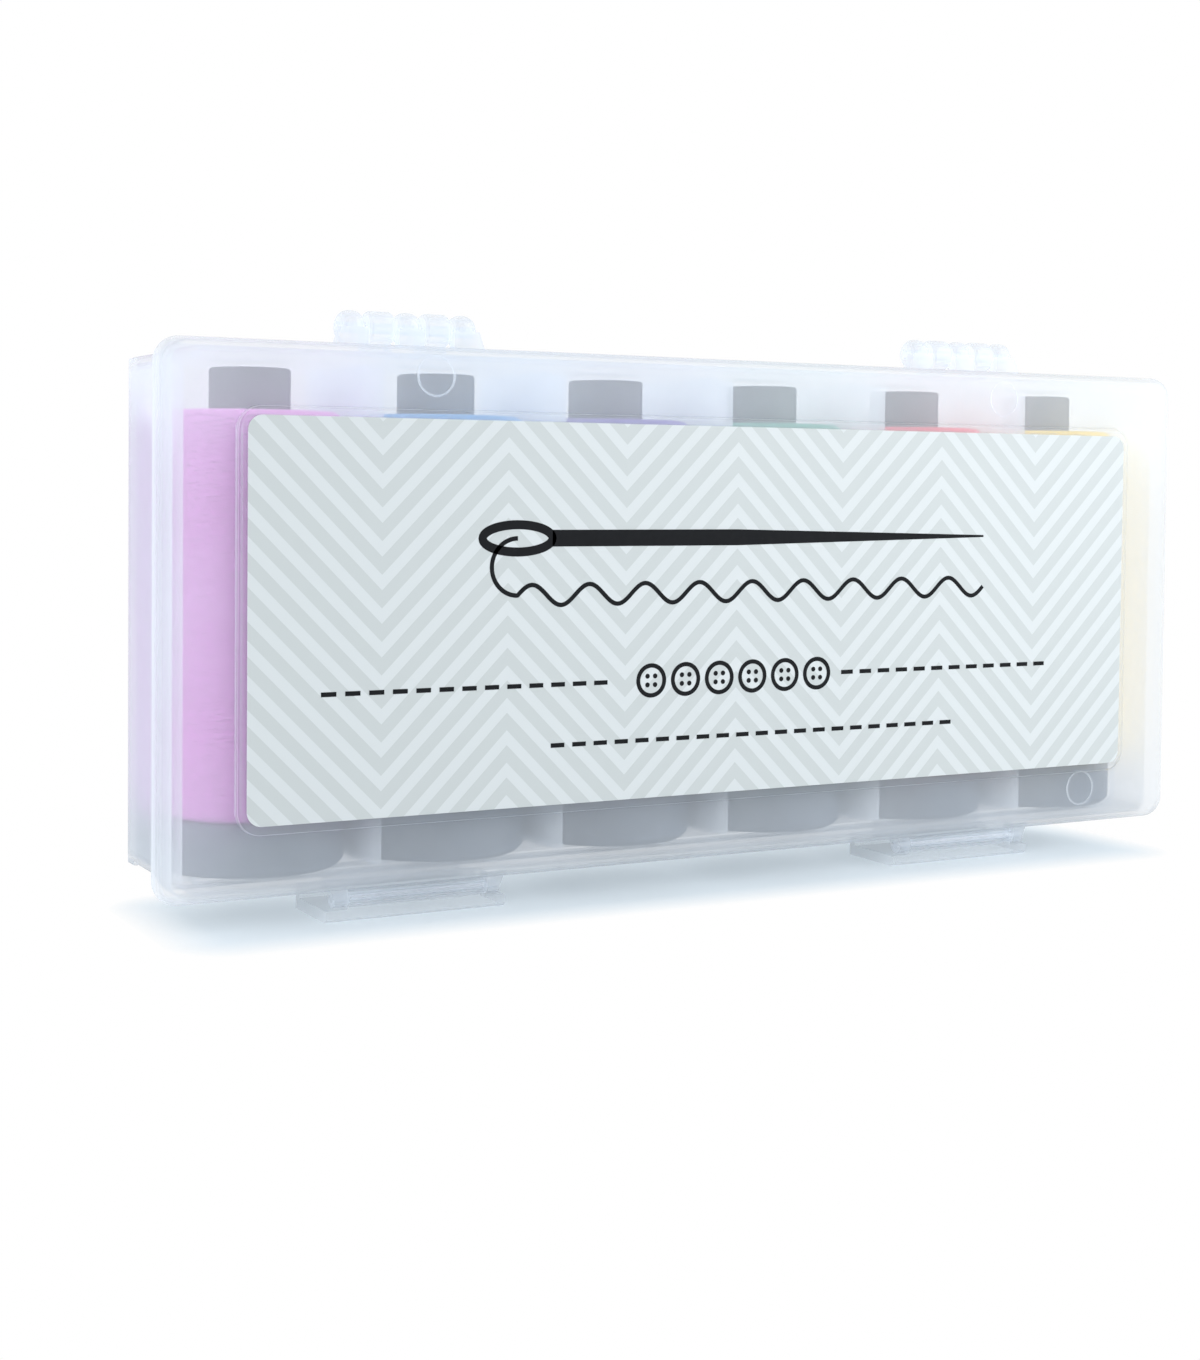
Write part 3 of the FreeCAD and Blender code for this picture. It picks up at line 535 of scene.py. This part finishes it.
def strand_path(axis, radius, low, high, rng):
    """Works out one unbroken strand that runs up and down the spool, each pass over the one before."""
    steps = round(STRAND_TURNS_PER_PASS * STRAND_STEPS_PER_TURN)
    path = []
    angle = rng.uniform(0, 2 * math.pi)
    ends = [low, high]
    start = low
    for number in range(STRAND_PASSES):
        end = ends[(number + 1) % 2] + rng.uniform(-STRAND_END_JITTER, STRAND_END_JITTER)
        rise = radius - STRAND_LAYER_RISE * (1 - number / (STRAND_PASSES - 1))
        for step in range(steps):
            share = step / steps
            turn = angle + share * STRAND_TURNS_PER_PASS * 2 * math.pi
            x = axis[0] + rise * math.cos(turn)
            y = axis[1] + rise * math.sin(turn)
            path.append(Vector((x, y, start + (end - start) * share)))
        angle += STRAND_TURNS_PER_PASS * 2 * math.pi
        start = end
    return path


def body_profile(inside, outside, low, high):
    """Gives the outline of the thread under the strand, with round shoulders, as (radius, height)."""
    profile = [(inside, low)]
    for middle, first in ((low + BODY_SHOULDER, -math.pi / 2), (high - BODY_SHOULDER, 0)):
        for step in range(BODY_ROUND_STEPS + 1):
            turn = first + step * math.pi / 2 / BODY_ROUND_STEPS
            radius = outside - BODY_SHOULDER + BODY_SHOULDER * math.cos(turn)
            profile.append((radius, middle + BODY_SHOULDER * math.sin(turn)))
    profile.append((inside, high))
    return profile


def wind_spool(colour, rng):
    """Adds the thread of one spool: a solid body below and the cross-wound strand over it."""
    finish = thread_finish(colour)
    low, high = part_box(f"{colour}_thread_package")
    wound_low, wound_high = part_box(f"{colour}_thread_winding")
    core_low, core_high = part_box(f"{colour}_spool_core")
    inside = (core_high.x - core_low.x) / 2
    axis = ((low.x + high.x) / 2, (low.y + high.y) / 2)
    outside = (wound_high.x - wound_low.x) / 2
    body_radius = outside - 2 * STRAND_RADIUS * (1 - STRAND_SUNK_SHARE)
    profile = body_profile(inside, body_radius, low.z, high.z)
    body = add_mesh(f"{colour}_thread_body", *lathe(profile, *axis), finish)
    path = strand_path(axis, outside - STRAND_RADIUS, low.z + BODY_SHOULDER, high.z - BODY_SHOULDER, rng)
    strand = add_mesh(f"{colour}_thread_strand", *strand_tube(path), finish)
    for piece, node in ((body, f"{colour}_thread_package"), (strand, f"{colour}_thread_winding")):
        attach(piece, f"{colour}_spool")
        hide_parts(node)


# Studio
def aim(item, target):
    """Turns a lamp towards a point."""
    item.rotation_euler = (Vector(target) - item.location).to_track_quat("-Z", "Y").to_euler()


def add_lamps():
    """Adds the soft lamps."""
    for name, lamp in LAMPS.items():
        data = bpy.data.lights.new(name, "AREA")
        data.shape = "DISK"
        data.size = lamp["size"]
        data.energy = lamp["power"]
        data.color = LAMP_COLOUR
        item = bpy.data.objects.new(name, data)
        item.location = lamp["place"]
        aim(item, LAMP_TARGET)
        bpy.context.scene.collection.objects.link(item)


def seen_directly(tree):
    """Gives a socket that is 1 for what the camera, gloss or clear plastic shows, and 0 for light."""
    path = tree.nodes.new("ShaderNodeLightPath")
    seen = math_node(tree, "MAXIMUM", path.outputs["Is Camera Ray"], path.outputs["Is Glossy Ray"])
    return math_node(tree, "MAXIMUM", seen, path.outputs["Is Transmission Ray"])


def add_sky():
    """Adds the even white surroundings."""
    world = bpy.data.worlds.new("studio")
    bpy.context.scene.world = world
    world.use_nodes = True
    tree = world.node_tree
    tree.nodes.clear()
    light = add_node(tree, "ShaderNodeBackground", Color=opaque(SKY_COLOUR), Strength=SKY_STRENGTH)
    shown = add_node(tree, "ShaderNodeBackground", Color=opaque(WHITE), Strength=1.0)
    mix = tree.nodes.new("ShaderNodeMixShader")
    tree.links.new(seen_directly(tree), mix.inputs["Fac"])
    tree.links.new(light.outputs["Background"], mix.inputs[1])
    tree.links.new(shown.outputs["Background"], mix.inputs[2])
    tree.links.new(mix.outputs["Shader"], tree.nodes.new("ShaderNodeOutputWorld").inputs["Surface"])


def vector_node(tree, operation, first, second=None):
    """Adds a vector math node and gives its outputs; the second operand is a fixed vector."""
    node = tree.nodes.new("ShaderNodeVectorMath")
    node.operation = operation
    tree.links.new(first, node.inputs[0])
    if second is not None:
        node.inputs[1].default_value = second
    return node.outputs


def floor_finish():
    """Makes the floor: shaded under the part, where a painted bluish glow lightens and tints the shadow,
    plain white around it.
    """
    material, tree, shader, output = new_material("studio_floor")
    shader.inputs["Base Color"].default_value = opaque(FLOOR_COLOUR)
    shader.inputs["Roughness"].default_value = FLOOR_ROUGHNESS
    shader.inputs["Specular IOR Level"].default_value = FLOOR_GLOSS
    away = vector_node(tree, "SUBTRACT", place_in(tree), SHADE_MIDDLE)["Vector"]
    spread = vector_node(tree, "ABSOLUTE", away)["Vector"]
    past = vector_node(tree, "SUBTRACT", spread, SHADE_HALF)["Vector"]
    beyond = vector_node(tree, "MAXIMUM", past, (0.0, 0.0, 0.0))["Vector"]
    reach = vector_node(tree, "LENGTH", beyond)["Value"]
    fade = mapped(tree, reach, (0.0, SHADE_FADE), FLOOR_GLOW_SHARES)
    glow = tree.nodes.new("ShaderNodeEmission")
    # Painted light: a bluish glow lightens and tints the floor's shadow near the case, plain white further
    # out
    tree.links.new(between(tree, fade, FLOOR_PAINTED_SHADOW_GLOW, WHITE), glow.inputs["Color"])
    mix = tree.nodes.new("ShaderNodeMixShader")
    tree.links.new(math_node(tree, "MULTIPLY", fade, seen_directly(tree)), mix.inputs["Fac"])
    tree.links.new(shader.outputs["BSDF"], mix.inputs[1])
    tree.links.new(glow.outputs["Emission"], mix.inputs[2])
    tree.links.new(mix.outputs["Shader"], output.inputs["Surface"])
    return material


def add_floor():
    """Adds the table that the case stands on."""
    half = FLOOR_HALF
    corners = [(-half, -half, 0), (half, -half, 0), (half, half, 0), (-half, half, 0)]
    add_mesh("studio_floor", corners, [(0, 1, 2, 3)], floor_finish(), smooth=False)


def add_camera():
    """Adds the camera at the photograph's viewpoint."""
    yaw, pitch, roll = (math.radians(v) for v in (CAMERA_YAW_DEG, CAMERA_PITCH_DEG, CAMERA_ROLL_DEG))
    forward = Vector((math.sin(yaw) * math.cos(pitch), math.cos(yaw) * math.cos(pitch), -math.sin(pitch)))
    level = Vector((math.cos(yaw), -math.sin(yaw), 0))
    upright = level.cross(forward)
    right = level * math.cos(roll) + upright * math.sin(roll)
    up = upright * math.cos(roll) - level * math.sin(roll)
    data = bpy.data.cameras.new("photo_camera")
    data.sensor_fit = "VERTICAL"
    data.sensor_height = SENSOR_MM
    data.lens = FOCAL_PX / IMAGE_HEIGHT_PX * SENSOR_MM
    data.shift_x = (IMAGE_WIDTH_PX / 2 - AXIS_X_PX) / IMAGE_HEIGHT_PX
    data.shift_y = (AXIS_Y_PX - IMAGE_HEIGHT_PX / 2) / IMAGE_HEIGHT_PX
    item = bpy.data.objects.new("photo_camera", data)
    turn = Matrix((right, up, -forward)).transposed().to_4x4()
    item.matrix_world = Matrix.Translation(CAMERA_PLACE) @ turn
    bpy.context.scene.collection.objects.link(item)
    bpy.context.scene.camera = item


# Dress the part
add_camera()
case_plastic = clear_plastic("case_plastic", CASE_MILK)
fitting_plastic = clear_plastic("fitting_plastic", FITTING_MILK)
for node in ("base_tray", "lid_shell"):
    dress(node, case_plastic)
for side in ("left", "right"):
    for kind in ("latch", "latch_pin", "hinge_pin"):
        dress(f"{side}_{kind}", fitting_plastic)
label_low, label_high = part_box("front_label")
dress("front_label", label_film((label_low.z + label_high.z) / 2))
print_label(label_low, label_high, grained("label_ink", INK))
back_label(label_low, label_high, grained("label_paper", PAPER))
mark_lid(label_high.y + PLATEAU_RISE, case_plastic)
cap_finish = grained("cap_plastic", CAP)
core_finish = grained("core_plastic", CORE)
draws = random.Random(SEED)
for colour in COLOURS:
    dress(f"{colour}_spool_cap", cap_finish)
    dress(f"{colour}_spool_core", core_finish)
    wind_spool(colour, draws)

add_sky()
add_lamps()
add_floor()
scene = bpy.context.scene
scene.view_settings.view_transform = "Standard"
scene.cycles.transparent_max_bounces = TRANSPARENT_LAYERS
